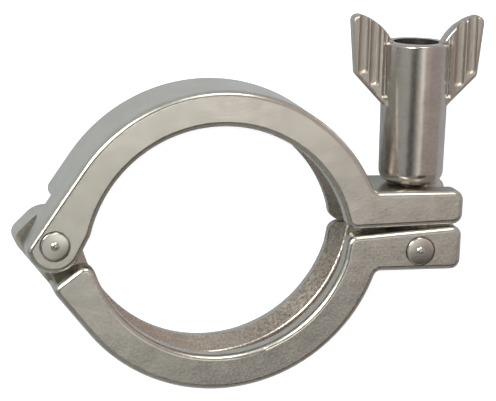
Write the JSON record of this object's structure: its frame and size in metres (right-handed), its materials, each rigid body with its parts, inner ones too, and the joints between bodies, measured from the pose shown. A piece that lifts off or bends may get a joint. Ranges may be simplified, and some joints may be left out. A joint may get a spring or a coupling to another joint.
{
  "type": "sanitary hinged clamp",
  "caption": "Hinged ring clamp in cast stainless steel: two grooved halves that draw flanged pipe ends together, closed by a swing bolt and a fluted wing nut.",
  "frame": {"origin": "centre of the closed ring at mid-width", "axes": "+X from the hinge pin to the bolt, +Y along the bolt towards the wing nut, +Z along the pipe axis; the clamp lies on its rear face"},
  "size_m": [0.1008, 0.08, 0.0193],
  "materials": {
    "cast_satin": "investment casting, tumbled to a soft satin with fine grain",
    "nut_polish": "cast and barrel polished, smoother than the halves",
    "pin_polish": "upset pin head, smooth",
    "bolt_turned": "turned and threaded"
  },
  "bodies": {
    "lower_half": {"lower_half": "cast_satin", "hinge_pin": "pin_polish", "swing_pin": "pin_polish"},
    "upper_half": {"upper_half": "cast_satin"},
    "swing_bolt": {"swing_bolt": "bolt_turned"},
    "wing_nut": {"wing_nut": "nut_polish"}
  },
  "joints": [
    {"name": "hinge", "type": "hinge", "parent": "lower_half", "child": "upper_half", "pos_m": [-0.0355, 0, 0], "axis": [0, 0, 1], "range_deg": [0, 75]},
    {"name": "bolt_swing", "type": "hinge", "parent": "lower_half", "child": "swing_bolt", "pos_m": [0.04415, -0.00285, 0], "axis": [0, 0, 1], "range_deg": [-113, 0]},
    {"name": "nut_travel", "type": "slide", "parent": "swing_bolt", "child": "wing_nut", "axis": [-0.007, 1, 0], "range_m": [0, 0.1235]}
  ],
  "couplings": [
    {"joint": "bolt_swing", "follows": "hinge", "ratio": -1.5},
    {"joint": "nut_travel", "follows": "hinge", "m_per_rad": 0.094}
  ]
}
